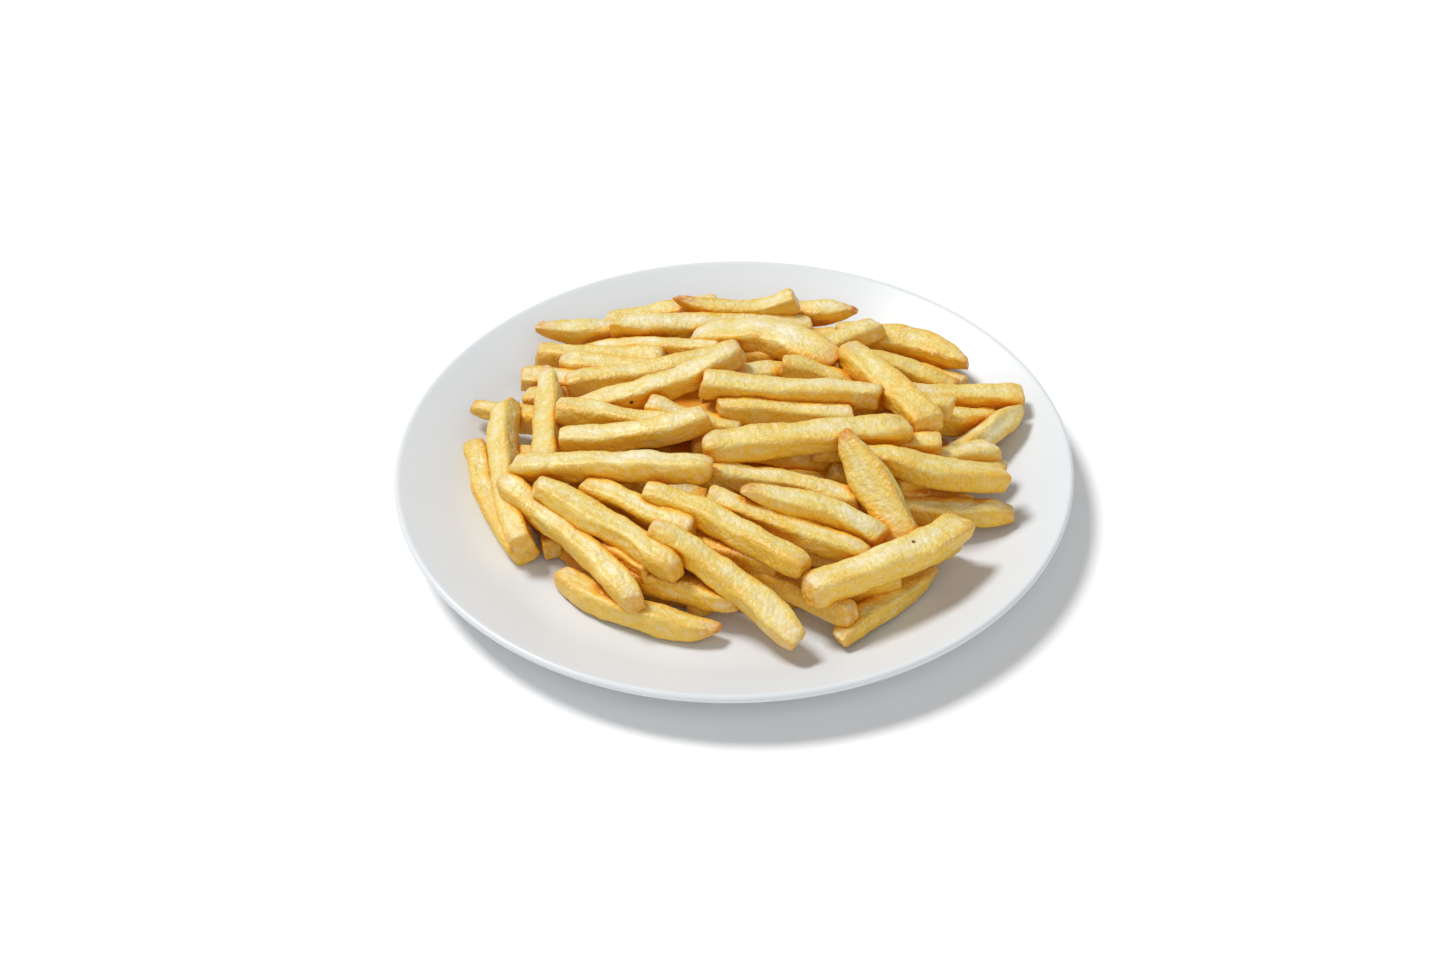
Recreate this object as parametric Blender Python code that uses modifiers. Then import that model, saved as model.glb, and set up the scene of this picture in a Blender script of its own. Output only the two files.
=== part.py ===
"""A portion of french fries, heaped on a round white dinner plate.

Two pieces: the plate, a turned shell on a foot ring, and the heap, one solid out to the uneven outline
of its fries. The origin is the middle of the plate's foot, on the table. +X is to the eater's right,
+Y away from the eater and +Z up. Sizes are in millimetres and become metres where Blender needs them.
"""
import math

import bmesh
import bpy
import numpy as np
from mathutils import Matrix, Vector

MM = 0.001

# Plate
PLATE_RADIUS = 135.0
WELL_RADIUS = 94.0
WELL_HEIGHT = 7.0
RIM_HEIGHT = 20.0
BEND_SHARE = 0.45          # share of the rim's width that the bend out of the well takes
WELL_WALL = 4.2
RIM_WALL = 3.4
FOOT_RADIUS = 78.0
FOOT_WIDTH = 4.5
FOOT_RECESS = 2.0
FOOT_ROUND = 1.0           # how far the ring's lower corners are rounded
FOOT_FILLET = 0.8          # depth of the hollow where the ring meets the plate
LIP_ANGLES = (35, 70, 105, 140)
RIM_STEPS = 13
UNDER_START = 3.0          # outside the foot ring, where the underside's even wall ends
UNDER_STEPS = 11
MERGE_WITHIN = 0.00001     # metres
PLATE_SIDES = 64

# Heap
GAP = 0.4                  # air between the plate and the heap
CORE_CENTRE = (4.0, -2.0, 8.0)
CORE_HALF_SIZE = (101.0, 87.0, 26.0)
CORE_SIDES = 24
CORE_RINGS = 12
CLEARANCE_SIDES = 48
CLEARANCE_STEPS = 9
CLEARANCE_OVERHANG = 5.0
CLEARANCE_DEPTH = 20.0

# Plain finishes, in linear colour
PORCELAIN_COLOUR, PORCELAIN_ROUGHNESS = (0.80, 0.82, 0.83), 0.15
FRIES_COLOUR, FRIES_ROUGHNESS = (0.80, 0.52, 0.16), 0.5

# Settling
SOFTNESS = 1.4             # how far two fries press into each other
ROUNDS = 60
STATIONS = 17
FAR_APART = 90.0           # fries with their middles farther apart than this can't touch
CONTACT_SHARE = 0.97       # of their mean thickness, kept between two middles that touch
STACKED_WITHIN = 5.0       # middles this close, seen from above, are one on the other
LEAST_RISE = 0.5
STACKED_RISE = 1.5
PUSH_SHARE = 0.45          # of an overlap, given way to in one round
CROWDING = 0.5             # how much each further contact weakens a push
TURN_SHARE = 0.8
RETURN_SHARE = 0.05        # of the way back to where it was laid, in one round
FLOOR_LIFT = 0.6
FLOOR_TURN = 0.3

CUT, TIP, SLANT, ROUND = "cut", "tip", "slant", "round"
# How much of its section a fry keeps at its end, and over what length it narrows, in mm
END_SHAPES = {CUT: (0.9, 2.0), TIP: (0.35, 16.0), SLANT: (0.6, 8.0), ROUND: (0.7, 4.0)}

# Each fry: x, y, z of its middle, heading and tilt in degrees, length, width, thickness,
# sideways bow, upward bow, roll in degrees, and its two ends. The first ones lie lowest.
BED = [
    (-62, 30, 12, 82, 0, 72, 9.5, 9.5, 1, 0, 0, CUT, CUT),
    (-44, -34, 12, 100, 0, 70, 9.5, 9.5, -1, 0, 0, CUT, SLANT),
    (-22, 42, 12, 86, 0, 76, 9.5, 9.5, 1, 0, 0, CUT, CUT),
    (-16, -42, 12, 95, 0, 72, 9.5, 9.5, 0, 0, 0, CUT, CUT),
    (10, 44, 12, 100, 0, 72, 9.5, 9.5, -2, 0, 0, SLANT, CUT),
    (14, -36, 12, 80, 0, 72, 9.5, 9.5, 1, 0, 0, CUT, CUT),
    (40, 36, 12, 85, 0, 74, 9.5, 9.5, 0, 0, 0, CUT, TIP),
    (42, -30, 12, 97, 0, 70, 9.5, 9.5, 1, 0, 0, CUT, CUT),
    (66, 6, 12, 78, 0, 72, 9.5, 9.5, -1, 0, 0, CUT, CUT),
    (-72, -14, 12, 96, 0, 58, 9.5, 9.5, 0, 0, 0, CUT, CUT),
    (-2, 6, 22, 8, 0, 78, 9.5, 9.5, 1, 0, 0, CUT, CUT),
    (-42, 12, 22, -6, 0, 72, 9.5, 9.5, -1, 0, 0, CUT, CUT),
    (38, 8, 22, 6, 0, 74, 9.5, 9.5, 0, 0, 0, CUT, CUT),
    (20, 58, 21, 5, 0, 74, 9.5, 9.5, 1, 0, 0, CUT, SLANT),
    (-28, -22, 22, 172, 0, 76, 9.5, 9.5, 1, 0, 0, CUT, CUT),
    (26, -20, 22, 8, 0, 76, 9.5, 9.5, -1, 0, 0, CUT, CUT),
    (-16, 60, 21, -8, 0, 70, 9.5, 9.5, 0, 0, 0, CUT, CUT),
    (14, -46, 21, -6, 0, 72, 9.5, 9.5, 1, 0, 0, CUT, CUT),
    (-20, 8, 32, 12, 0, 70, 9.5, 9.5, 0, 0, 0, CUT, CUT),
    (24, 30, 32, -5, 0, 72, 9.5, 9.5, 1, 0, 0, CUT, CUT),
    (20, -10, 32, 175, 0, 70, 9.5, 9.5, -1, 0, 0, CUT, CUT),
]
HEAP = [
    (55, -75, 13, 46, 0, 56, 9.5, 9.5, 1, 0, 0, SLANT, TIP),
    (-39, -79, 12, -28, 0, 69, 10, 9.5, -7, 1, 0, ROUND, TIP),
    (64, -60, 14, 31, 1, 50, 9.5, 9.5, 0, 0, 0, CUT, ROUND),
    (76, -27, 13, 178, -4, 66, 10, 9.5, 2, 0, 0, SLANT, CUT),
    (66, -24, 22, -4, -14, 58, 9.5, 9.5, 0, 0, 0, CUT, CUT),
    (50, -74, 16, 22, 0, 22, 9.5, 9.5, 0, 0, 0, ROUND, CUT),
    (14, -74, 20, -34, -12, 68, 10, 9.5, 2, 0, 0, CUT, ROUND),
    (-22, -74, 17, -22, -4, 50, 9.5, 9.5, 0, 0, 0, CUT, ROUND),
    (-4, -62, 24, -24, -10, 46, 9.5, 9.5, 0, 0, 0, CUT, CUT),
    (14, -58, 24, -38, -8, 44, 9, 9, 0, 0, 0, CUT, CUT),
    (34, -62, 22, -4, -6, 54, 9, 9, 0, 0, 0, CUT, CUT),
    (-93, -13, 13, -72, 0, 72, 10, 10, -4, 0, 20, SLANT, CUT),
    (-82, 24, 18, -30, 12, 58, 10, 9.5, 0, 0, 0, TIP, CUT),
    (-68, 2, 22, -10, 7, 56, 9.5, 9.5, 0, 0, 0, CUT, CUT),
    (-58, 36, 22, -18, 8, 56, 11, 10, 0, 0, 0, CUT, CUT),
    (-60, 52, 18, -12, 6, 54, 9.5, 9.5, 0, 0, 0, CUT, CUT),
    (-54, 65, 16, -14, 0, 56, 9.5, 9.5, 0, 0, 0, CUT, CUT),
    (-53, 84, 20, 0, -6, 56, 10, 10, 0, 0, 0, TIP, CUT),
    (-44, 56, 23, -14, 8, 54, 9.5, 9.5, 0, 0, 0, ROUND, CUT),
    (-32, 68, 21, -16, 8, 62, 8, 8, 0, 0, 0, TIP, CUT),
    (-8, 82, 23, 1, 0, 83, 10, 10, 0, 0, 0, CUT, CUT),
    (68, 60, 14, 160, 0, 56, 9.5, 9.5, 0, 0, 0, CUT, CUT),
    (48, 80, 13, 174, 2, 56, 9.5, 9.5, 3, 0, 0, CUT, CUT),
    (24, 96, 20, 175, 4, 58, 9.5, 9.5, 0, 0, 0, TIP, CUT),
    (-28, 95, 19, 4, 0, 50, 9.5, 9.5, 0, 0, 0, CUT, CUT),
    (83, 18, 26, -158, 16, 56, 9.5, 9.5, 0, 0, 0, CUT, CUT),
    (92, 31, 22, -177, 6, 50, 9.5, 9.5, 0, 0, 0, CUT, CUT),
    (95, 12, 17, -138, 0, 56, 11, 9.5, 0, 0, 40, SLANT, CUT),
    (66, 21, 29, 172, 8, 46, 9.5, 9.5, 0, 0, 0, CUT, CUT),
    (69, 50, 24, 164, 8, 48, 9.5, 9.5, 0, 0, 0, TIP, CUT),
    (13, 38, 32, -158, 8, 46, 9.5, 9.5, 0, 0, 0, TIP, CUT),
    (40, 36, 30, -8, -6, 42, 9.5, 9.5, 0, 0, 0, ROUND, CUT),
    (85, -12, 24, -158, 8, 50, 9.5, 9.5, 0, 0, 0, TIP, CUT),
    (78, -12, 27, -160, 10, 54, 10, 9.5, 0, 0, 0, CUT, CUT),
    (56, -12, 31, -176, 6, 50, 9.5, 9.5, 0, 0, 0, CUT, CUT),
    (74, -24, 33, -2, -20, 60, 12, 10, -4, 1, 0, TIP, CUT),
    (54, -37, 35, -60, -22, 50, 15, 10, 0, 0, 35, TIP, CUT),
    (70, 67, 20, -22, -8, 56, 13, 11, 8, 0, 0, CUT, TIP),
    (43, 63, 24, 30, -8, 44, 9.5, 9.5, 0, 0, 0, CUT, CUT),
    (14, 58, 31, -26, 2, 66, 16, 9.5, 6, 3, 0, SLANT, TIP),
    (3, 90, 27, -2, 0, 49, 9.5, 9, -3, -6, 0, TIP, CUT),
    (-34, 45, 28, 10, 4, 72, 9.5, 9.5, -2, 0, 0, CUT, CUT),
    (-28, 24, 36, 16, 5, 72, 10, 10, -5, 0, 0, TIP, ROUND),
    (20, 4, 38, -3, -3, 54, 9, 9, 0, 0, 0, CUT, CUT),
    (-16, 6, 32, -18, 0, 38, 9, 9, 0, 0, 0, CUT, CUT),
    (24, 15, 42, -3, -5, 71, 10, 9.5, 0, 0, 0, CUT, CUT),
    (-71, 17, 25, -90, 7, 64, 11, 10, 0, 0, 22, TIP, CUT),
    (-46, 8, 34, -16, 8, 50, 9.5, 9.5, 0, 0, 0, CUT, CUT),
    (-39, -7, 40, 2, 9, 59, 9.5, 9.5, -3, 0, 0, CUT, CUT),
    (-89, -9, 21, -84, -3, 82, 10, 10, -4, 0, 30, SLANT, CUT),
    (-55, -31, 30, 32, 14, 40, 9, 9, 0, 0, 0, CUT, CUT),
    (-52, -55, 15, -42, 0, 54, 9, 9, 0, 0, 0, CUT, CUT),
    (-60, -51, 23, -50, -4, 82, 9.5, 9.5, 3, 0, 10, ROUND, ROUND),
    (-50, -56, 26, -39, -8, 71, 10, 9.5, 2, 0, 0, ROUND, ROUND),
    (-4, -78, 24, -40, -16, 74, 11, 9.5, 3, 0, 0, ROUND, ROUND),
    (-38, -47, 32, -35, -3, 50, 9.5, 9.5, 0, 0, 0, CUT, CUT),
    (17, -33, 35, -10, -5, 66, 9.5, 9.5, 0, 0, 0, CUT, CUT),
    (-47, -26, 38, -12, 10, 80, 10, 10, 0, 1, 0, ROUND, ROUND),
    (19, -60, 33, -22, -9, 66, 10, 9.5, 0, 0, 0, CUT, ROUND),
    (-2, -58, 34, -34, -9, 73, 10, 9.5, 2, 0, 0, ROUND, ROUND),
    (30, -53, 37, -13, -15, 56, 10, 10, 2, 2, 0, TIP, CUT),
    (29, -19, 42, 9, -6, 81, 12.5, 10, -2, 2, 0, ROUND, ROUND),
    (61, 22, 34, -60, 0, 62, 13, 10, 0, 1, 0, ROUND, CUT),
    (58, -68, 27, 32, 3, 73, 13, 10.5, -5, 2, 0, CUT, ROUND),
]


def plate_top(radius):
    """Height of the plate's upper face at a distance from its axis."""
    share = np.clip((np.asarray(radius) - WELL_RADIUS) / (PLATE_RADIUS - WELL_RADIUS), 0, 1)
    slope = (RIM_HEIGHT - WELL_HEIGHT) / (1 - BEND_SHARE / 2)
    bend = slope * share ** 2 / (2 * BEND_SHARE)
    straight = slope * (share - BEND_SHARE / 2)
    return WELL_HEIGHT + np.where(share < BEND_SHARE, bend, straight)


def centre_lines(fries):
    """Points along each fry's middle, and how far along it each one lies."""
    x, y, z, heading, tilt, length, _, _, bow, rise, _ = (column[:, None] for column in fries.T)
    along = np.linspace(-0.5, 0.5, STATIONS)[None, :] * length
    curve = 1 / 3 - (2 * along / length) ** 2
    east, north = np.cos(np.radians(heading)), np.sin(np.radians(heading))
    run = along * np.cos(np.radians(tilt))
    return np.stack([x + run * east - bow * curve * north,
                     y + run * north + bow * curve * east,
                     z + along * np.sin(np.radians(tilt)) + rise * curve], -1), along


def nearest_points(line_a, line_b):
    """Step from one centre line to the other where they come closest, and the two places."""
    steps = line_b[:, None, :] - line_a[None, :, :]
    gaps = np.linalg.norm(steps, axis=-1)
    place_b, place_a = np.unravel_index(gaps.argmin(), gaps.shape)
    return steps[place_b, place_a], gaps.min(), place_a, place_b


def push_apart(fries, lines, along):
    """Shift and tilt for each fry that eases it away from those it cuts into."""
    shift, turn = np.zeros((len(fries), 3)), np.zeros(len(fries))
    contacts = np.zeros(len(fries))
    for low in range(len(fries)):
        for high in range(low + 1, len(fries)):
            if np.abs(fries[high, :2] - fries[low, :2]).max() > FAR_APART:
                continue
            step, gap, at_low, at_high = nearest_points(lines[low], lines[high])
            overlap = (fries[low, 7] + fries[high, 7]) / 2 * CONTACT_SHARE - SOFTNESS - gap
            if overlap <= 0:
                continue
            if math.hypot(step[0], step[1]) < STACKED_WITHIN and step[2] < LEAST_RISE:
                step[2] = STACKED_RISE
            push = step / np.linalg.norm(step) * PUSH_SHARE * overlap
            for fry, place, sign in ((high, at_high, 1), (low, at_low, -1)):
                shift[fry] += sign * push
                turn[fry] += sign * push[2] * along[fry, place]
                contacts[fry] += 1
    shared = np.maximum(1, contacts * CROWDING)
    stiffness = fries[:, 5] ** 2 / 12 + 1
    return shift / shared[:, None], np.degrees(turn / shared / stiffness) * TURN_SHARE


def settle(rows):
    """Eases the fries apart where they cut into each other or the plate, each near where it was laid."""
    laid = np.array([row[:11] for row in rows], float)
    fries = laid.copy()
    for _ in range(ROUNDS):
        lines, along = centre_lines(fries)
        shift, turn = push_apart(fries, lines, along)
        fries[:, :3] += shift
        fries[:, 4] += turn
        fries[:, :5] += (laid - fries)[:, :5] * RETURN_SHARE
        lines, along = centre_lines(fries)
        floor = plate_top(np.hypot(lines[..., 0], lines[..., 1])) + fries[:, 7:8] / 2 + GAP
        sunk = floor - lines[..., 2]
        for fry, place in enumerate(sunk.argmax(1)):
            depth = max(0.0, sunk[fry, place])
            fries[fry, 2] += depth * FLOOR_LIFT
            stiffness = fries[fry, 5] ** 2 / 12
            fries[fry, 4] += np.degrees(depth * along[fry, place] / stiffness) * FLOOR_TURN
    return fries


def clear_scene():
    for item in list(bpy.data.objects):
        bpy.data.objects.remove(item)


def new_collection(name):
    collection = bpy.data.collections.new(name)
    bpy.context.scene.collection.children.link(collection)
    return collection


def add_object(name, mesh, collection):
    item = bpy.data.objects.new(name, mesh)
    collection.objects.link(item)
    return item


def mesh_from(builder, name):
    mesh = bpy.data.meshes.new(name)
    builder.to_mesh(mesh)
    builder.free()
    return mesh


def finish(name, colour, roughness):
    """A plain material in linear colour."""
    material = bpy.data.materials.new(name)
    material.use_nodes = True
    shader = material.node_tree.nodes["Principled BSDF"]
    shader.inputs["Base Color"].default_value = (*colour, 1)
    shader.inputs["Roughness"].default_value = roughness
    shader.inputs["Metallic"].default_value = 0.0
    return material


def hide_as_guide(item):
    item.hide_render = True
    item.display_type = "WIRE"


def turned(name, profile, sides, collection):
    """A closed body turned about Z from (radius, height) points that run from its top round to its foot."""
    builder = bmesh.new()
    points = [builder.verts.new((radius * MM, 0, height * MM)) for radius, height in profile]
    for first, second in zip(points, points[1:]):
        builder.edges.new((first, second))
    item = add_object(name, mesh_from(builder, name), collection)
    screw = item.modifiers.new("turn", "SCREW")
    screw.steps = screw.render_steps = sides
    screw.use_merge_vertices = True
    screw.merge_threshold = MERGE_WITHIN
    return item


def plate_profile():
    """Upper face outwards, round the lip, and back along the underside over the foot ring."""
    lip = RIM_WALL / 2
    lip_centre = PLATE_RADIUS - lip
    upper = [(0, WELL_HEIGHT), (WELL_RADIUS * 0.5, WELL_HEIGHT)]
    upper += [(r, float(plate_top(r))) for r in np.linspace(WELL_RADIUS, lip_centre, RIM_STEPS)]
    middle = upper[-1][1] - lip
    edge = [(lip_centre + lip * math.sin(a), middle + lip * math.cos(a))
            for a in np.radians(LIP_ANGLES)]
    under = []
    for r in np.linspace(lip_centre, FOOT_RADIUS + UNDER_START, UNDER_STEPS):
        share = (r - FOOT_RADIUS) / (lip_centre - FOOT_RADIUS)
        wall = WELL_WALL + (RIM_WALL - WELL_WALL) * share
        under.append((r, float(plate_top(r)) - wall))
    inner = FOOT_RADIUS - FOOT_WIDTH
    half = FOOT_ROUND / 2
    foot = [(FOOT_RADIUS, WELL_HEIGHT - WELL_WALL - FOOT_FILLET), (FOOT_RADIUS - half, half),
            (FOOT_RADIUS - FOOT_ROUND, 0), (inner + FOOT_ROUND, 0), (inner + half, half),
            (inner - FOOT_ROUND, FOOT_RECESS), (0, FOOT_RECESS)]
    return upper + edge + under + foot


def make_plate(parts):
    plate = turned("plate", plate_profile(), PLATE_SIDES, parts)
    plate.data.materials.append(finish("white_glazed_porcelain", PORCELAIN_COLOUR, PORCELAIN_ROUGHNESS))
    return plate


def narrowing(along, length, end, sign):
    """Share of the section that is left at a place near one end."""
    keep, reach = END_SHAPES[end]
    from_end = length / 2 - sign * along
    return keep + (1 - keep) * min(1.0, from_end / reach)


def fry_body(row, fry, name, collection):
    """One fry as a box that is cut into lengths, narrowed at its ends, bent and laid in place."""
    x, y, z, heading, tilt, length, width, thickness, bow, rise, roll = fry
    builder = bmesh.new()
    bmesh.ops.create_cube(builder, size=1.0)
    bmesh.ops.scale(builder, vec=(length, width, thickness), verts=builder.verts)
    sections = sorted({-length / 2 + END_SHAPES[row[11]][1], 0.0, length / 2 - END_SHAPES[row[12]][1]})
    for place in sections:
        bmesh.ops.bisect_plane(builder, geom=builder.verts[:] + builder.edges[:] + builder.faces[:],
                               plane_co=(place, 0, 0), plane_no=(1, 0, 0), dist=0.0001)
    for vertex in builder.verts:
        along = vertex.co.x
        share = narrowing(along, length, row[11], -1) * narrowing(along, length, row[12], 1)
        curve = 1 / 3 - (2 * along / length) ** 2
        section = Matrix.Rotation(math.radians(roll), 3, "X") @ Vector((0, vertex.co.y, vertex.co.z))
        vertex.co = Vector((along, section.y * share + bow * curve, section.z * share + rise * curve))
    laid = (Matrix.Translation(Vector((x, y, z)) * MM) @ Matrix.Rotation(math.radians(heading), 4, "Z")
            @ Matrix.Rotation(-math.radians(tilt), 4, "Y") @ Matrix.Scale(MM, 4))
    bmesh.ops.transform(builder, matrix=laid, verts=builder.verts)
    bmesh.ops.recalc_face_normals(builder, faces=builder.faces)
    item = add_object(name, mesh_from(builder, name), collection)
    hide_as_guide(item)


def plate_clearance(guides):
    """Everything below a face that lies just above the plate."""
    radii = [0, WELL_RADIUS * 0.5, *np.linspace(WELL_RADIUS, PLATE_RADIUS, CLEARANCE_STEPS)]
    upper = [(r, float(plate_top(r)) + GAP) for r in radii]
    reach = PLATE_RADIUS + CLEARANCE_OVERHANG
    profile = upper + [(reach, upper[-1][1]), (reach, -CLEARANCE_DEPTH), (0, -CLEARANCE_DEPTH)]
    cutter = turned("plate_clearance", profile, CLEARANCE_SIDES, guides)
    hide_as_guide(cutter)
    return cutter


def outer_shell(item):
    """Keeps the mesh's largest connected shell, so no sealed hollow stays inside the heap."""
    builder = bmesh.new()
    builder.from_mesh(item.data)
    unseen = set(builder.verts)
    shells = []
    while unseen:
        shell, front = set(), [unseen.pop()]
        while front:
            vertex = front.pop()
            shell.add(vertex)
            for edge in vertex.link_edges:
                other = edge.other_vert(vertex)
                if other in unseen:
                    unseen.remove(other)
                    front.append(other)
        shells.append(shell)
    shells.sort(key=len)
    for shell in shells[:-1]:
        bmesh.ops.delete(builder, geom=list(shell), context="VERTS")
    bmesh.ops.triangulate(builder, faces=builder.faces)
    builder.to_mesh(item.data)
    builder.free()


def make_heap(parts, guides):
    """The fries joined with a low core into one solid, trimmed to stand clear of the plate."""
    rows = BED + HEAP
    bodies = new_collection("heap_fries")
    for index, (row, fry) in enumerate(zip(rows, settle(rows))):
        if index >= len(BED):
            fry_body(row, fry, f"fry_{index}", bodies)
    bpy.ops.mesh.primitive_uv_sphere_add(segments=CORE_SIDES, ring_count=CORE_RINGS, radius=MM,
                                         location=[value * MM for value in CORE_CENTRE])
    core = bpy.context.object
    core.scale = CORE_HALF_SIZE
    bpy.ops.object.transform_apply(location=True, rotation=False, scale=True)
    union = core.modifiers.new("fries", "BOOLEAN")
    union.operation = "UNION"
    union.operand_type = "COLLECTION"
    union.collection = bodies
    trim = core.modifiers.new("clearance", "BOOLEAN")
    trim.operation = "DIFFERENCE"
    trim.object = plate_clearance(guides)
    evaluated = core.evaluated_get(bpy.context.evaluated_depsgraph_get())
    heap = add_object("french_fries", bpy.data.meshes.new_from_object(evaluated), parts)
    bpy.data.objects.remove(core)
    outer_shell(heap)
    heap.data.materials.clear()
    heap.data.materials.append(finish("golden_fries", FRIES_COLOUR, FRIES_ROUGHNESS))
    return heap


def main():
    clear_scene()
    parts = new_collection("french_fries_portion")
    guides = new_collection("cutters")
    make_plate(parts)
    make_heap(parts, guides)


main()
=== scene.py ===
"""Looks of a portion of french fries on a white dinner plate.

The heap's solid is replaced by real fries: each one is laid as a row of HEAP says, eased off its
neighbours, and swept along its own middle line. Sizes are in millimetres until they reach Blender.
"""
import math

import bmesh
import bpy
import numpy as np
from mathutils import Matrix, Vector


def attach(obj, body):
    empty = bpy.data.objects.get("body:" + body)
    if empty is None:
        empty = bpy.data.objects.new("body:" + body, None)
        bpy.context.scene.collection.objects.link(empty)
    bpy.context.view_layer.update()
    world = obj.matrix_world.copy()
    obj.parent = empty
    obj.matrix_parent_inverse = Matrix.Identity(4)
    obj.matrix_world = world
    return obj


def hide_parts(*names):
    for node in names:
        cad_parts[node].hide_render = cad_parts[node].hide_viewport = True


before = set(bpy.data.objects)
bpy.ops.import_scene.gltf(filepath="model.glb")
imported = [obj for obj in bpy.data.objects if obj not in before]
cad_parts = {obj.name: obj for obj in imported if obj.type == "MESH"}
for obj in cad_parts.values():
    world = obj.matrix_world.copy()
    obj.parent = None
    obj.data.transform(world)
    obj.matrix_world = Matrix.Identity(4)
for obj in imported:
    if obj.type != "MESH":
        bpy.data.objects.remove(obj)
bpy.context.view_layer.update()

MM = 0.001

# ---------------------------------------------------------------- sizes, as on the solid model
PLATE_RADIUS = 135.0
WELL_RADIUS = 94.0
WELL_HEIGHT = 7.0
RIM_HEIGHT = 20.0
BEND_SHARE = 0.45
WELL_WALL = 4.2
RIM_WALL = 3.4
FOOT_RADIUS = 78.0
FOOT_WIDTH = 4.5
FOOT_RECESS = 2.0
PLATE_SIDES = 240
WELL_SEAM, WELL_STEPS = 6.0, 12        # the flat well's last ring lies this far inside the bend
RIM_STEPS = 40
LIP_ANGLES = range(20, 165, 16)
UNDER_START, UNDER_STEPS = 2.0, 30
RECESS_START, RECESS_STEPS = 6.0, 8
FOOT_FILLET = ((0.6, -0.3), (0.0, -1.0))             # out from the ring and down from the underside
FOOT_CORNER = ((0.3, 0.6), (0.6, 0.15), (1.1, 0.0))  # into the ring and up from the table
FOOT_HOLLOW = ((-0.4, -0.3), (-1.2, 0.0))            # out from the ring's inside and up from the recess
MERGE_WITHIN = 0.00001                 # in metres

GAP = 0.4
CORE_CENTRE = (4.0, -2.0, 8.0)
CORE_HALF_SIZE = (88.0, 74.0, 16.0)
CORE_SEGMENTS, CORE_RINGS = 64, 32
CORE_RIPPLE, CORE_RIPPLE_X, CORE_RIPPLE_Y = 1.2, 5.0, 6.0

SOFTNESS = 1.4             # how far two fries press into each other
ROUNDS = 60
STATIONS = 17
FAR_APART = 90.0           # fries with their middles farther apart than this can't touch
CONTACT_SHARE = 0.97       # of their mean thickness, kept between two middles that touch
STACKED_WITHIN = 5.0       # middles this close, seen from above, are one on the other
LEAST_RISE = 0.5
STACKED_RISE = 1.5
PUSH_SHARE = 0.45          # of an overlap, given way to in one round
CROWDING = 0.5             # how much each further contact weakens a push
TURN_SHARE = 0.8
RETURN_SHARE = 0.05        # of the way back to where it was laid, in one round
FLOOR_LIFT = 0.6
FLOOR_TURN = 0.3

CUT, TIP, SLANT, ROUND = "cut", "tip", "slant", "round"

# Each fry: x, y, z of its middle, heading and tilt in degrees, length, width, thickness,
# sideways bow, upward bow, roll in degrees, and its two ends. The first ones lie lowest.
BED = [
    (-62, 30, 12, 82, 0, 72, 9.5, 9.5, 1, 0, 0, CUT, CUT),
    (-44, -34, 12, 100, 0, 70, 9.5, 9.5, -1, 0, 0, CUT, SLANT),
    (-22, 42, 12, 86, 0, 76, 9.5, 9.5, 1, 0, 0, CUT, CUT),
    (-16, -42, 12, 95, 0, 72, 9.5, 9.5, 0, 0, 0, CUT, CUT),
    (10, 44, 12, 100, 0, 72, 9.5, 9.5, -2, 0, 0, SLANT, CUT),
    (14, -36, 12, 80, 0, 72, 9.5, 9.5, 1, 0, 0, CUT, CUT),
    (40, 36, 12, 85, 0, 74, 9.5, 9.5, 0, 0, 0, CUT, TIP),
    (42, -30, 12, 97, 0, 70, 9.5, 9.5, 1, 0, 0, CUT, CUT),
    (66, 6, 12, 78, 0, 72, 9.5, 9.5, -1, 0, 0, CUT, CUT),
    (-72, -14, 12, 96, 0, 58, 9.5, 9.5, 0, 0, 0, CUT, CUT),
    (-2, 6, 22, 8, 0, 78, 9.5, 9.5, 1, 0, 0, CUT, CUT),
    (-42, 12, 22, -6, 0, 72, 9.5, 9.5, -1, 0, 0, CUT, CUT),
    (38, 8, 22, 6, 0, 74, 9.5, 9.5, 0, 0, 0, CUT, CUT),
    (20, 58, 21, 5, 0, 74, 9.5, 9.5, 1, 0, 0, CUT, SLANT),
    (-28, -22, 22, 172, 0, 76, 9.5, 9.5, 1, 0, 0, CUT, CUT),
    (26, -20, 22, 8, 0, 76, 9.5, 9.5, -1, 0, 0, CUT, CUT),
    (-16, 60, 21, -8, 0, 70, 9.5, 9.5, 0, 0, 0, CUT, CUT),
    (14, -46, 21, -6, 0, 72, 9.5, 9.5, 1, 0, 0, CUT, CUT),
    (-20, 8, 32, 12, 0, 70, 9.5, 9.5, 0, 0, 0, CUT, CUT),
    (24, 30, 32, -5, 0, 72, 9.5, 9.5, 1, 0, 0, CUT, CUT),
    (20, -10, 32, 175, 0, 70, 9.5, 9.5, -1, 0, 0, CUT, CUT),
]
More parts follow.
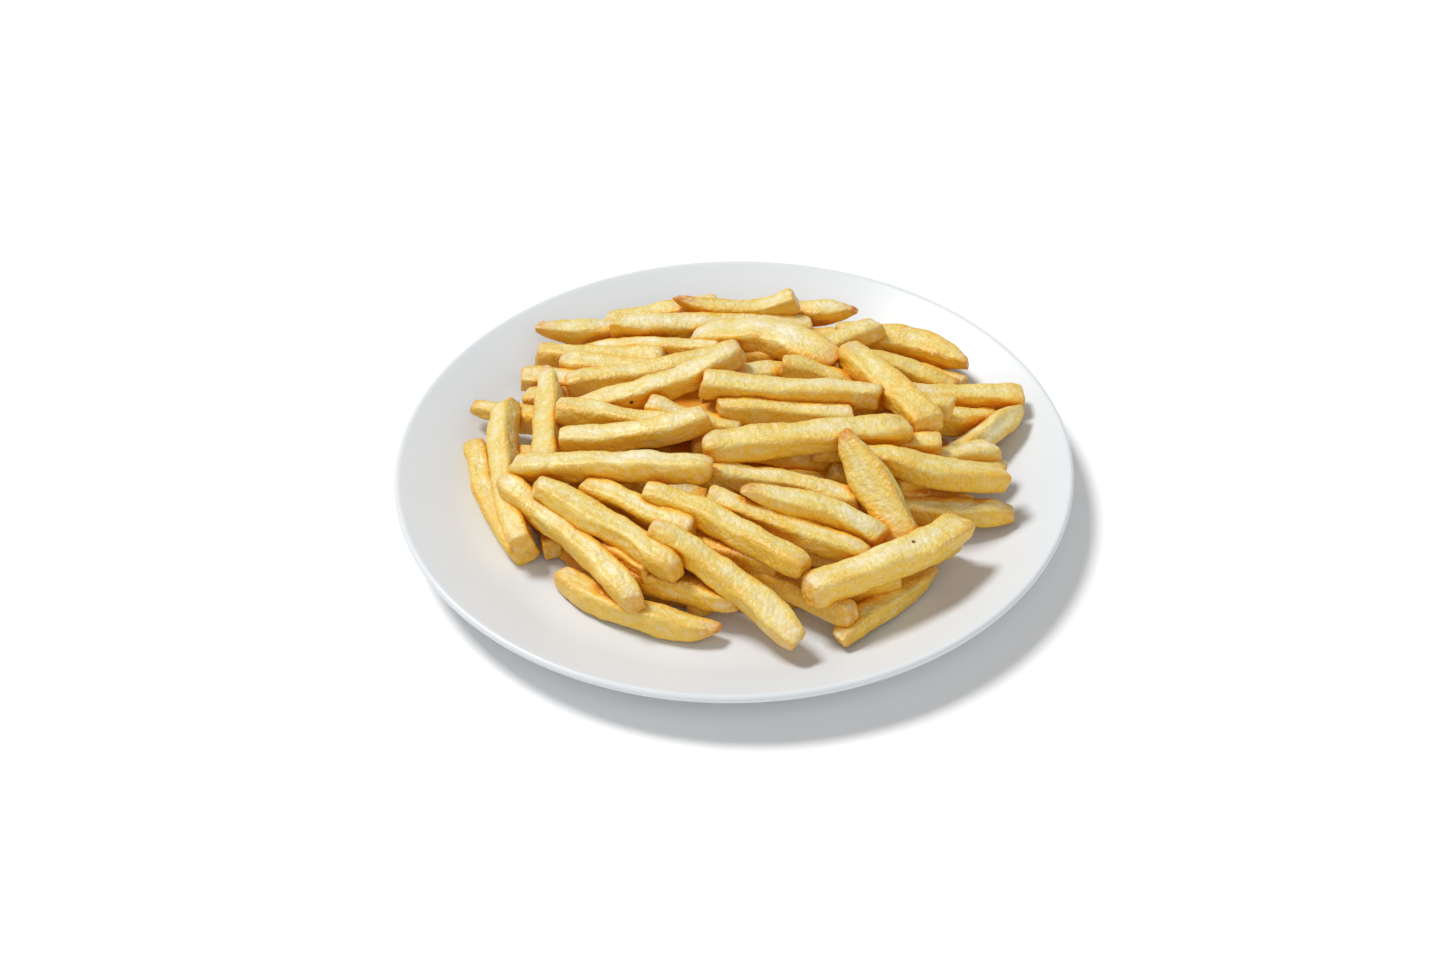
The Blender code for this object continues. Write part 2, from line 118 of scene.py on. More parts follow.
HEAP = [
    (55, -75, 13, 46, 0, 56, 9.5, 9.5, 1, 0, 0, SLANT, TIP),
    (-39, -79, 12, -28, 0, 69, 10, 9.5, -7, 1, 0, ROUND, TIP),
    (64, -60, 14, 31, 1, 50, 9.5, 9.5, 0, 0, 0, CUT, ROUND),
    (76, -27, 13, 178, -4, 66, 10, 9.5, 2, 0, 0, SLANT, CUT),
    (66, -24, 22, -4, -14, 58, 9.5, 9.5, 0, 0, 0, CUT, CUT),
    (50, -74, 16, 22, 0, 22, 9.5, 9.5, 0, 0, 0, ROUND, CUT),
    (14, -74, 20, -34, -12, 68, 10, 9.5, 2, 0, 0, CUT, ROUND),
    (-22, -74, 17, -22, -4, 50, 9.5, 9.5, 0, 0, 0, CUT, ROUND),
    (-4, -62, 24, -24, -10, 46, 9.5, 9.5, 0, 0, 0, CUT, CUT),
    (14, -58, 24, -38, -8, 44, 9, 9, 0, 0, 0, CUT, CUT),
    (34, -62, 22, -4, -6, 54, 9, 9, 0, 0, 0, CUT, CUT),
    (-93, -13, 13, -72, 0, 72, 10, 10, -4, 0, 20, SLANT, CUT),
    (-82, 24, 18, -30, 12, 58, 10, 9.5, 0, 0, 0, TIP, CUT),
    (-68, 2, 22, -10, 7, 56, 9.5, 9.5, 0, 0, 0, CUT, CUT),
    (-58, 36, 22, -18, 8, 56, 11, 10, 0, 0, 0, CUT, CUT),
    (-60, 52, 18, -12, 6, 54, 9.5, 9.5, 0, 0, 0, CUT, CUT),
    (-54, 65, 16, -14, 0, 56, 9.5, 9.5, 0, 0, 0, CUT, CUT),
    (-53, 84, 20, 0, -6, 56, 10, 10, 0, 0, 0, TIP, CUT),
    (-44, 56, 23, -14, 8, 54, 9.5, 9.5, 0, 0, 0, ROUND, CUT),
    (-32, 68, 21, -16, 8, 62, 8, 8, 0, 0, 0, TIP, CUT),
    (-8, 82, 23, 1, 0, 83, 10, 10, 0, 0, 0, CUT, CUT),
    (68, 60, 14, 160, 0, 56, 9.5, 9.5, 0, 0, 0, CUT, CUT),
    (48, 80, 13, 174, 2, 56, 9.5, 9.5, 3, 0, 0, CUT, CUT),
    (24, 96, 20, 175, 4, 58, 9.5, 9.5, 0, 0, 0, TIP, CUT),
    (-28, 95, 19, 4, 0, 50, 9.5, 9.5, 0, 0, 0, CUT, CUT),
    (83, 18, 26, -158, 16, 56, 9.5, 9.5, 0, 0, 0, CUT, CUT),
    (92, 31, 22, -177, 6, 50, 9.5, 9.5, 0, 0, 0, CUT, CUT),
    (95, 12, 17, -138, 0, 56, 11, 9.5, 0, 0, 40, SLANT, CUT),
    (66, 21, 29, 172, 8, 46, 9.5, 9.5, 0, 0, 0, CUT, CUT),
    (69, 50, 24, 164, 8, 48, 9.5, 9.5, 0, 0, 0, TIP, CUT),
    (13, 38, 32, -158, 8, 46, 9.5, 9.5, 0, 0, 0, TIP, CUT),
    (40, 36, 30, -8, -6, 42, 9.5, 9.5, 0, 0, 0, ROUND, CUT),
    (85, -12, 24, -158, 8, 50, 9.5, 9.5, 0, 0, 0, TIP, CUT),
    (78, -12, 27, -160, 10, 54, 10, 9.5, 0, 0, 0, CUT, CUT),
    (56, -12, 31, -176, 6, 50, 9.5, 9.5, 0, 0, 0, CUT, CUT),
    (74, -24, 33, -2, -20, 60, 12, 10, -4, 1, 0, TIP, CUT),
    (54, -37, 35, -60, -22, 50, 15, 10, 0, 0, 35, TIP, CUT),
    (70, 67, 20, -22, -8, 56, 13, 11, 8, 0, 0, CUT, TIP),
    (43, 63, 24, 30, -8, 44, 9.5, 9.5, 0, 0, 0, CUT, CUT),
    (14, 58, 31, -26, 2, 66, 16, 9.5, 6, 3, 0, SLANT, TIP),
    (3, 90, 27, -2, 0, 49, 9.5, 9, -3, -6, 0, TIP, CUT),
    (-34, 45, 28, 10, 4, 72, 9.5, 9.5, -2, 0, 0, CUT, CUT),
    (-28, 24, 36, 16, 5, 72, 10, 10, -5, 0, 0, TIP, ROUND),
    (20, 4, 38, -3, -3, 54, 9, 9, 0, 0, 0, CUT, CUT),
    (-16, 6, 32, -18, 0, 38, 9, 9, 0, 0, 0, CUT, CUT),
    (24, 15, 42, -3, -5, 71, 10, 9.5, 0, 0, 0, CUT, CUT),
    (-71, 17, 25, -90, 7, 64, 11, 10, 0, 0, 22, TIP, CUT),
    (-46, 8, 34, -16, 8, 50, 9.5, 9.5, 0, 0, 0, CUT, CUT),
    (-39, -7, 40, 2, 9, 59, 9.5, 9.5, -3, 0, 0, CUT, CUT),
    (-89, -9, 21, -84, -3, 82, 10, 10, -4, 0, 30, SLANT, CUT),
    (-55, -31, 30, 32, 14, 40, 9, 9, 0, 0, 0, CUT, CUT),
    (-52, -55, 15, -42, 0, 54, 9, 9, 0, 0, 0, CUT, CUT),
    (-60, -51, 23, -50, -4, 82, 9.5, 9.5, 3, 0, 10, ROUND, ROUND),
    (-50, -56, 26, -39, -8, 71, 10, 9.5, 2, 0, 0, ROUND, ROUND),
    (-4, -78, 24, -40, -16, 74, 11, 9.5, 3, 0, 0, ROUND, ROUND),
    (-38, -47, 32, -35, -3, 50, 9.5, 9.5, 0, 0, 0, CUT, CUT),
    (17, -33, 35, -10, -5, 66, 9.5, 9.5, 0, 0, 0, CUT, CUT),
    (-47, -26, 38, -12, 10, 80, 10, 10, 0, 1, 0, ROUND, ROUND),
    (19, -60, 33, -22, -9, 66, 10, 9.5, 0, 0, 0, CUT, ROUND),
    (-2, -58, 34, -34, -9, 73, 10, 9.5, 2, 0, 0, ROUND, ROUND),
    (30, -53, 37, -13, -15, 56, 10, 10, 2, 2, 0, TIP, CUT),
    (29, -19, 42, 9, -6, 81, 12.5, 10, -2, 2, 0, ROUND, ROUND),
    (61, 22, 34, -60, 0, 62, 13, 10, 0, 1, 0, ROUND, CUT),
    (58, -68, 27, 32, 3, 73, 13, 10.5, -5, 2, 0, CUT, ROUND),
]

# numbers of the rows of HEAP that are paler or more golden than the rest
PALE_FRIES = (17, 19, 20, 27, 39, 41, 42, 48, 52, 57, 60, 63)
GOLDEN_FRIES = (0, 1, 6, 11, 12, 22, 29, 31, 35, 36, 37, 59, 62)
# the dark spots of a few of them: along, across and above the fry's middle
SPECKS = {37: (18.0, 2.0, 5.5), 42: (-13.0, -5.0, 1.0), 63: (9.0, 1.0, 5.25)}
NO_SPECK = (500.0, 0.0, 0.0)           # so far off that it never shows
PALE_TONE, MIDDLING_TONE, GOLDEN_TONE = 0.0, 0.3, 0.65
TONE_SPREAD = 0.35

# ---------------------------------------------------------------- how a fry is shaped
STEP_ALONG = 0.8           # length of one ring of faces
SIDES_ROUND = 44           # faces round a fry
EDGE_RADIUS = 1.2
SQUARENESS = 5.2           # 2 would be a round fry
RAY_START = 0.0015         # in metres, where a look for neighbours begins outside the skin
RAY_LEANS = ((0.0, 0.0), (0.9, 0.0), (-0.9, 0.0), (0.0, 0.8), (0.0, -0.8))
SHELTER_BLUR = 6           # rounds of smoothing
HOLLOWING = 0.02           # how far each face sinks between its edges, as a share
FEWEST_RINGS = 8
EDGE_ANGLES = (25, 50, 72, 90)         # of the rings round an end's rounded edge, in degrees
END_RINGS = (0.66, 0.36, 0.1)          # shares of the end's section, for the rings on its flat face
END_COUNT = len(EDGE_ANGLES) + len(END_RINGS)
WIDTH_WAVE, HEIGHT_WAVE = 0.08, 0.07   # shares by which a fry is thicker or thinner along its length
TAPER = (-0.2, 0.2)
TURNED_TIPS = 0.5                      # share of the tips that are flat the other way
TURNED_TIP_EXTRA = 0.15
REACH_SPREAD = (0.8, 1.2)
NARROWING = 1.7                        # power that eases the narrowing in
TIP_RISE_SPREAD = (0.3, 1.4)
TIP_ASIDE = 1.5
LEAN_LENGTH, LEAN_EASE = 9.0, 1.3      # an end is cut askew over this length, in mm
LEAN_SIDE, LEAN_UP = (-1.4, 1.4), (-1.6, 0.8)
BROWN_LENGTH, BROWN_EASE = (6, 13), 1.4
BROWN_SHARE, RIM_BROWN = (0.5, 1.0), (0.0, 0.5)
RIM_MARGIN = 0.01
SWAY, HEAVE, SLOW_WAVE = 0.7, 0.4, (30, 70)
TWIST, TWIST_WAVE = 7, (80, 160)       # in degrees, and its lengths in mm
SEED_STEP = 7.31

# the fry tree's sizes, in metres
TREE_SIZES = {"Lump Size": 0.013, "Lump Height": 0.0015, "Dent Size": 0.005, "Dent Height": 0.0009,
              "Grain Size": 0.0022, "Grain Height": 0.0003, "Shelter Reach": 0.012}
LUMP_STRETCH = (0.6, 1.0, 1.0)         # lumps are longer along the fry than across it
LUMP_DETAIL, GRAIN_DETAIL = 1.0, 2.0
RELIEF_ROUGHNESS = 0.55
NOISE_MIDDLE = 0.5
# share of width and thickness kept at the end, length of the narrowing, rise of the tip in mm, browning
END_SHAPES = {
    CUT: (0.94, 0.94, 5.0, 0.0, 0.35),
    TIP: (0.30, 0.38, 20.0, 1.2, 1.0),
    SLANT: (0.72, 0.50, 11.0, -1.0, 0.6),
    ROUND: (0.74, 0.76, 7.0, 0.0, 0.5),
}


def plate_top(radius):
    """Height of the plate's upper face at a distance from its axis."""
    share = np.clip((np.asarray(radius) - WELL_RADIUS) / (PLATE_RADIUS - WELL_RADIUS), 0, 1)
    slope = (RIM_HEIGHT - WELL_HEIGHT) / (1 - BEND_SHARE / 2)
    bend = slope * share ** 2 / (2 * BEND_SHARE)
    straight = slope * (share - BEND_SHARE / 2)
    return WELL_HEIGHT + np.where(share < BEND_SHARE, bend, straight)


# ---------------------------------------------------------------- laying the fries
def centre_lines(fries):
    """Points along each fry's middle, and how far along it each one lies."""
    x, y, z, heading, tilt, length, _, _, bow, rise, _ = (column[:, None] for column in fries.T)
    along = np.linspace(-0.5, 0.5, STATIONS)[None, :] * length
    curve = 1 / 3 - (2 * along / length) ** 2
    east, north = np.cos(np.radians(heading)), np.sin(np.radians(heading))
    run = along * np.cos(np.radians(tilt))
    return np.stack([x + run * east - bow * curve * north,
                     y + run * north + bow * curve * east,
                     z + along * np.sin(np.radians(tilt)) + rise * curve], -1), along


def nearest_points(line_a, line_b):
    """Step from one centre line to the other where they come closest, and the two places."""
    steps = line_b[:, None, :] - line_a[None, :, :]
    gaps = np.linalg.norm(steps, axis=-1)
    place_b, place_a = np.unravel_index(gaps.argmin(), gaps.shape)
    return steps[place_b, place_a], gaps.min(), place_a, place_b


def push_apart(fries, lines, along):
    """Shift and tilt for each fry that eases it away from those it cuts into."""
    shift, turn = np.zeros((len(fries), 3)), np.zeros(len(fries))
    contacts = np.zeros(len(fries))
    for low in range(len(fries)):
        for high in range(low + 1, len(fries)):
            if np.abs(fries[high, :2] - fries[low, :2]).max() > FAR_APART:
                continue
            step, gap, at_low, at_high = nearest_points(lines[low], lines[high])
            overlap = (fries[low, 7] + fries[high, 7]) / 2 * CONTACT_SHARE - SOFTNESS - gap
            if overlap <= 0:
                continue
            if math.hypot(step[0], step[1]) < STACKED_WITHIN and step[2] < LEAST_RISE:
                step[2] = STACKED_RISE
            push = step / np.linalg.norm(step) * PUSH_SHARE * overlap
            for fry, place, sign in ((high, at_high, 1), (low, at_low, -1)):
                shift[fry] += sign * push
                turn[fry] += sign * push[2] * along[fry, place]
                contacts[fry] += 1
    shared = np.maximum(1, contacts * CROWDING)
    stiffness = fries[:, 5] ** 2 / 12 + 1
    return shift / shared[:, None], np.degrees(turn / shared / stiffness) * TURN_SHARE


def settle(rows):
    """Eases the fries apart where they cut into each other or the plate, each near where it was laid."""
    laid = np.array([row[:11] for row in rows], float)
    fries = laid.copy()
    for _ in range(ROUNDS):
        lines, along = centre_lines(fries)
        shift, turn = push_apart(fries, lines, along)
        fries[:, :3] += shift
        fries[:, 4] += turn
        fries[:, :5] += (laid - fries)[:, :5] * RETURN_SHARE
        lines, along = centre_lines(fries)
        floor = plate_top(np.hypot(lines[..., 0], lines[..., 1])) + fries[:, 7:8] / 2 + GAP
        sunk = floor - lines[..., 2]
        for fry, place in enumerate(sunk.argmax(1)):
            depth = max(0.0, sunk[fry, place])
            fries[fry, 2] += depth * FLOOR_LIFT
            stiffness = fries[fry, 5] ** 2 / 12
            fries[fry, 4] += np.degrees(depth * along[fry, place] / stiffness) * FLOOR_TURN
    return fries


# ---------------------------------------------------------------- node helpers
def add_node(tree, kind, inputs=None, **settings):
    """Adds one node, sets its properties, and fills or links its inputs by name or number."""
    item = tree.nodes.new(kind)
    for name, value in settings.items():
        setattr(item, name, value)
    for key, value in (inputs or {}).items():
        socket = item.inputs[key]
        if isinstance(value, bpy.types.NodeSocket):
            tree.links.new(value, socket)
        else:
            socket.default_value = value
    return item


def linear(colour):
    """A colour such as #f4d58a, as linear red, green, blue and alpha."""
    values = [int(colour[i:i + 2], 16) / 255 for i in (1, 3, 5)]
    return (*[v / 12.92 if v <= 0.04045 else ((v + 0.055) / 1.055) ** 2.4 for v in values], 1.0)


# ---------------------------------------------------------------- the fry tree
def named(tree, name, kind="FLOAT"):
    """One attribute stored on the rings or round the section."""
    return add_node(tree, "GeometryNodeInputNamedAttribute", {"Name": name}, data_type=kind).outputs[0]


def maths(tree, operation, first, second=0.0):
    """The result of one sum on two numbers."""
    return add_node(tree, "ShaderNodeMath", {0: first, 1: second}, operation=operation).outputs[0]


def scaled(tree, vector, factor):
    """A vector made longer or shorter."""
    return add_node(tree, "ShaderNodeVectorMath", {0: vector, "Scale": factor}, operation="SCALE").outputs[0]


def summed(tree, *vectors):
    """Vectors added together."""
    total = vectors[0]
    for vector in vectors[1:]:
        total = add_node(tree, "ShaderNodeVectorMath", {0: total, 1: vector}, operation="ADD").outputs[0]
    return total


def relief(tree, place, seed, size, height, detail):
    """Lumps of one size: how far they stand out, centred on nothing."""
    noise = add_node(tree, "ShaderNodeTexNoise",
                     {"Vector": place, "W": seed, "Detail": detail,
                      "Scale": maths(tree, "DIVIDE", 1.0, size), "Roughness": RELIEF_ROUGHNESS},
                     noise_dimensions="4D").outputs[0]
    centred = maths(tree, "SUBTRACT", noise, NOISE_MIDDLE)
    return maths(tree, "MULTIPLY", centred, maths(tree, "MULTIPLY", height, 2.0))


def sheltered(tree, neighbours, reach):
    """How closely the neighbouring fries cover each place on the skin, from 0 in the open to 1."""
    others = add_node(tree, "GeometryNodeObjectInfo", {"Object": neighbours}).outputs["Geometry"]
    normal = add_node(tree, "GeometryNodeInputNormal").outputs[0]
    position = add_node(tree, "GeometryNodeInputPosition").outputs[0]
    start = summed(tree, position, scaled(tree, normal, RAY_START))
    total = 0.0
    for lean in RAY_LEANS:
        forward = scaled(tree, named(tree, "ahead", "FLOAT_VECTOR"), lean[0])
        ray = summed(tree, normal, forward, (0.0, 0.0, lean[1]))
        cast = add_node(tree, "GeometryNodeRaycast", {"Target Geometry": others, "Source Position": start,
                                                      "Ray Direction": ray, "Ray Length": reach}).outputs
        near = maths(tree, "SUBTRACT", 1.0, maths(tree, "DIVIDE", cast["Hit Distance"], reach))
        # a ray that starts inside a neighbour meets it from within, and that place is covered
        along = add_node(tree, "ShaderNodeVectorMath", {0: cast["Hit Normal"], 1: ray},
                         operation="DOT_PRODUCT")
        inside = maths(tree, "GREATER_THAN", along.outputs["Value"], 0.0)
        cover = maths(tree, "MULTIPLY", cast["Is Hit"], maths(tree, "MAXIMUM", near, inside))
        total = maths(tree, "ADD", total, cover)
    return maths(tree, "DIVIDE", total, float(len(RAY_LEANS)))


def laid_skin(tree, given):
    """The sections swept along the middle lines, and where each point is on its own fry."""
    section = add_node(tree, "GeometryNodeObjectInfo", {"Object": given["Section"]}).outputs["Geometry"]
    section = add_node(tree, "GeometryNodeMeshToCurve", {"Mesh": section}).outputs[0]
    rails = add_node(tree, "GeometryNodeMeshToCurve", {"Mesh": given["Geometry"]}).outputs[0]
    swept = add_node(tree, "GeometryNodeCurveToMesh",
                     {"Curve": rails, "Profile Curve": section, "Fill Caps": True}).outputs[0]

    across = maths(tree, "MULTIPLY", named(tree, "across"), named(tree, "half_width"))
    above = maths(tree, "MULTIPLY", named(tree, "above"), named(tree, "half_height"))
    lean = maths(tree, "ADD", maths(tree, "MULTIPLY", named(tree, "across"), named(tree, "skew_side")),
                 maths(tree, "MULTIPLY", named(tree, "above"), named(tree, "skew_up")))
    skin = summed(tree, named(tree, "middle", "FLOAT_VECTOR"),
                  scaled(tree, named(tree, "side", "FLOAT_VECTOR"), across),
                  scaled(tree, named(tree, "up", "FLOAT_VECTOR"), above),
                  scaled(tree, named(tree, "ahead", "FLOAT_VECTOR"), lean))
    laid = add_node(tree, "GeometryNodeSetPosition", {"Geometry": swept, "Position": skin}).outputs[0]

    # a place on the fry that doesn't change where it lies: along, across and above, in metres
    own = add_node(tree, "ShaderNodeCombineXYZ", {0: named(tree, "along"), 1: across, 2: above}).outputs[0]
    laid = add_node(tree, "GeometryNodeStoreNamedAttribute",
                    {"Geometry": laid, "Name": "fry_place", "Value": own}, data_type="FLOAT_VECTOR").outputs[0]
    return laid, own


def fried_skin(tree, given, laid, own):
    """Raises lumps, dents and grain on the skin, and stores how far neighbours shelter it."""
    seed = named(tree, "seed")
    stretched = add_node(tree, "ShaderNodeVectorMath", {0: own, 1: LUMP_STRETCH},
                         operation="MULTIPLY").outputs[0]
    lumps = relief(tree, stretched, seed, given["Lump Size"], given["Lump Height"], LUMP_DETAIL)
    dents = relief(tree, stretched, seed, given["Dent Size"], given["Dent Height"], LUMP_DETAIL)
    grain = relief(tree, own, seed, given["Grain Size"], given["Grain Height"], GRAIN_DETAIL)
    stand = maths(tree, "ADD", maths(tree, "ADD", lumps, dents), grain)
    outward = scaled(tree, add_node(tree, "GeometryNodeInputNormal").outputs[0], stand)
    rough = add_node(tree, "GeometryNodeSetPosition", {"Geometry": laid, "Offset": outward}).outputs[0]
    # the cover by neighbours, blurred, is stored for the crust's painted shade in covered places
    cover = sheltered(tree, given["Neighbours"], given["Shelter Reach"])
    shelter = add_node(tree, "GeometryNodeBlurAttribute",
                       {"Value": cover, "Iterations": SHELTER_BLUR}).outputs[0]
    return add_node(tree, "GeometryNodeStoreNamedAttribute",
                    {"Geometry": rough, "Name": "shelter", "Value": shelter}, data_type="FLOAT").outputs[0]


def fry_tree():
    """Sweeps a rounded square along each middle line and raises the fried skin's lumps and blisters."""
    tree = bpy.data.node_groups.new("swept_fries", "GeometryNodeTree")
    face = tree.interface
    face.new_socket("Geometry", in_out="INPUT", socket_type="NodeSocketGeometry")
    for name, kind in (("Section", "Object"), ("Neighbours", "Object"), ("Skin", "Material")):
        face.new_socket(name, in_out="INPUT", socket_type="NodeSocket" + kind)
    for name, value in TREE_SIZES.items():
        face.new_socket(name, in_out="INPUT", socket_type="NodeSocketFloat").default_value = value
    face.new_socket("Geometry", in_out="OUTPUT", socket_type="NodeSocketGeometry")
    given = add_node(tree, "NodeGroupInput").outputs
    laid, own = laid_skin(tree, given)
    rough = fried_skin(tree, given, laid, own)
    whole = add_node(tree, "GeometryNodeRealizeInstances", {"Geometry": rough}).outputs[0]
    smooth = add_node(tree, "GeometryNodeSetShadeSmooth", {"Geometry": whole}).outputs[0]
    coated = add_node(tree, "GeometryNodeSetMaterial",
                      {"Geometry": smooth, "Material": given["Skin"]}).outputs[0]
    add_node(tree, "NodeGroupOutput", {0: coated})
    return tree


# ---------------------------------------------------------------- rails
def section_object():
    """The fry's section as a ring of points two units across, its faces a little hollow."""
    angles = np.arange(SIDES_ROUND) / SIDES_ROUND * 2 * math.pi + math.pi / SIDES_ROUND
    c, s = np.cos(angles), np.sin(angles)
    reach = (np.abs(c) ** SQUARENESS + np.abs(s) ** SQUARENESS) ** (-1 / SQUARENESS)
    across, above = c * reach, s * reach
    across, above = (across * (1 - HOLLOWING * (1 - above ** 2)),
                     above * (1 - HOLLOWING * (1 - across ** 2)))
    mesh = bpy.data.meshes.new("fry_section")
    mesh.from_pydata([(a * MM, b * MM, 0) for a, b in zip(across, above)],
                     [(i, (i + 1) % SIDES_ROUND) for i in range(SIDES_ROUND)], [])
    for name, values in (("across", across), ("above", above)):
        mesh.attributes.new(name, "FLOAT", "POINT").data.foreach_set("value", values)
    item = bpy.data.objects.new("fry_section", mesh)
    bpy.context.scene.collection.objects.link(item)
    return item


def waves(along, draw, count=3, shortest=14.0, longest=45.0):
    """A slow uneven line between about -1 and 1."""
    total = np.zeros_like(along)
    for _ in range(count):
        total += np.sin(2 * math.pi * (along / draw.uniform(shortest, longest) + draw.random()))
    return total / count


def tone_of(number, draw):
    """How golden a fry is, from 0 to 1; the hidden ones count as middling."""
    base = PALE_TONE if number in PALE_FRIES else GOLDEN_TONE if number in GOLDEN_FRIES else MIDDLING_TONE
    return base + draw.uniform(0.0, TONE_SPREAD)


def ring_places(length, thickness):
    """Where a fry's rings lie, how much of its section each keeps, and how much an end's edge keeps."""
    count = max(FEWEST_RINGS, int(round((length - 2 * EDGE_RADIUS) / STEP_ALONG)))
    body = np.linspace(-length / 2 + EDGE_RADIUS, length / 2 - EDGE_RADIUS, count)
    corner = np.radians(EDGE_ANGLES)
    cap_along = length / 2 - EDGE_RADIUS * (1 - np.sin(corner))
    cap_share = 1 - EDGE_RADIUS / (thickness / 2) * (1 - np.cos(corner))
    edge_share = cap_share[-1]
    cap_along = np.append(cap_along, [length / 2] * len(END_RINGS))
    cap_share = np.append(cap_share, np.array(END_RINGS) * edge_share)
    along = np.concatenate([-cap_along[::-1], body, cap_along])
    share = np.concatenate([cap_share[::-1], np.ones(len(body)), cap_share])
    return along, share, edge_share


def uneven(size, share, along, length, wave, draw):
    """Half of a fry's width or thickness at each ring: it waves slowly and tapers a little."""
    half = size / 2 * share * (1 + wave * waves(along, draw))
    return half * (1 + draw.uniform(*TAPER) * along / length)


def shape_end(rings, end, sign, length, draw):
    """Narrows, bends, skews and browns one end of a fry; sign is -1 for the first end, 1 for the last."""
    keep_width, keep_height, reach, tip_rise, browning = END_SHAPES[end]
    if end == TIP and draw.random() < TURNED_TIPS:
        keep_width, keep_height = keep_height + TURNED_TIP_EXTRA, keep_width
    reach *= draw.uniform(*REACH_SPREAD)
    from_end = length / 2 - sign * rings["along"]
    eased = np.clip(1 - from_end / reach, 0, 1) ** NARROWING
    rings["half_width"] *= 1 - (1 - keep_width) * eased
    rings["half_height"] *= 1 - (1 - keep_height) * eased
    rings["lift"] += tip_rise * draw.uniform(*TIP_RISE_SPREAD) * eased
    rings["aside"] += draw.normal(0, 1.0) * eased * (1 - keep_width) * TIP_ASIDE
    lean = np.clip(1 - from_end / LEAN_LENGTH, 0, 1) ** LEAN_EASE * sign
    rings["skew_side"] += draw.uniform(*LEAN_SIDE) * lean
    rings["skew_up"] += draw.uniform(*LEAN_UP) * lean
    fade = np.clip(1 - from_end / draw.uniform(*BROWN_LENGTH), 0, 1)
    brown = np.maximum(rings["brown"], browning * draw.uniform(*BROWN_SHARE) * fade ** BROWN_EASE)
    rim = rings["rim"] & (sign * rings["along"] > 0)
    rings["brown"] = np.maximum(brown, rim * draw.uniform(*RIM_BROWN))


def middle_line(rings, fry, draw):
    """The fry's middle at each ring: laid, tilted and bowed as its row says, and a little uneven."""
    x, y, z, heading, tilt, length, _, _, bow, rise, _ = fry
    along = rings["along"]
    curve = 1 / 3 - (2 * along / length) ** 2
    east, north = math.cos(math.radians(heading)), math.sin(math.radians(heading))
    sway = bow * curve + rings["aside"] + SWAY * waves(along, draw, 2, *SLOW_WAVE)
    run = along * math.cos(math.radians(tilt))
    climb = z + along * math.sin(math.radians(tilt)) + rise * curve + rings["lift"]
    climb = climb + HEAVE * waves(along, draw, 2, *SLOW_WAVE)
    return np.stack([x + run * east - sway * north, y + run * north + sway * east, climb], -1)


def ring_axes(middle, along, roll, draw):
    """The ways ahead, aside and up at each ring, turned round the fry by its slowly changing roll."""
    inner = slice(END_COUNT - 1, len(along) - END_COUNT + 1)
    slope = np.gradient(middle[inner], along[inner], axis=0)
    ahead = np.stack([np.interp(along, along[inner], slope[:, k]) for k in range(3)], -1)
    ahead /= np.linalg.norm(ahead, axis=1)[:, None]
    side = np.cross(np.array([0, 0, 1.0]), ahead)
    side /= np.linalg.norm(side, axis=1)[:, None]
    up = np.cross(ahead, side)
    angle = np.radians(roll + TWIST * waves(along, draw, 1, *TWIST_WAVE))[:, None]
    side, up = side * np.cos(angle) + up * np.sin(angle), up * np.cos(angle) - side * np.sin(angle)
    return ahead, side, up


def fry_rail(row, fry, seed):
    """Everything the tree needs at each ring of one fry, from end to end."""
    length, width, thickness, roll = fry[5], fry[6], fry[7], fry[10]
    draw = np.random.default_rng(seed)
    along, share, edge_share = ring_places(length, thickness)
    rings = {name: np.zeros_like(along) for name in ("lift", "aside", "skew_side", "skew_up", "brown")}
    rings["along"] = along
    rings["half_width"] = uneven(width, share, along, length, WIDTH_WAVE, draw)
    rings["half_height"] = uneven(thickness, share, along, length, HEIGHT_WAVE, draw)
    rings["rim"] = (share < 1 - RIM_MARGIN) & (share > edge_share - RIM_MARGIN)
    for sign, end in zip((-1, 1), row[-2:]):
        shape_end(rings, end, sign, length, draw)
    middle = middle_line(rings, fry, draw)
    ahead, side, up = ring_axes(middle, along, roll, draw)
    tone = tone_of(seed - len(BED), draw)
    speck = np.array(SPECKS.get(seed - len(BED), NO_SPECK)) * MM
    count = len(along)
    return {
        "middle": middle * MM, "side": side, "up": up, "ahead": ahead,
        "half_width": rings["half_width"] * MM, "half_height": rings["half_height"] * MM,
        "skew_side": rings["skew_side"] * MM * share, "skew_up": rings["skew_up"] * MM * share,
        "along": along * MM, "seed": np.full(count, seed * SEED_STEP), "brown": rings["brown"],
        "tone": np.full(count, tone), "speck": np.tile(speck, (count, 1)),
    }


def rail_object(name, rails):
    """All the middle lines of one group of fries, with what each ring needs stored on its point."""
    joined = {key: np.concatenate([rail[key] for rail in rails]) for key in rails[0]}
    edges, start = [], 0
    for rail in rails:
        count = len(rail["along"])
        edges += [(start + i, start + i + 1) for i in range(count - 1)]
        start += count
    mesh = bpy.data.meshes.new(name)
    # the line itself is laid out far apart, so that rings which share a place stay in order
    mesh.from_pydata([(i * MM, 0, 0) for i in range(start)], edges, [])
    for key, values in joined.items():
        if values.ndim == 2:
            mesh.attributes.new(key, "FLOAT_VECTOR", "POINT").data.foreach_set("vector", values.ravel())
        else:
            mesh.attributes.new(key, "FLOAT", "POINT").data.foreach_set("value", values)
    item = bpy.data.objects.new(name, mesh)
    bpy.context.scene.collection.objects.link(item)
    return item


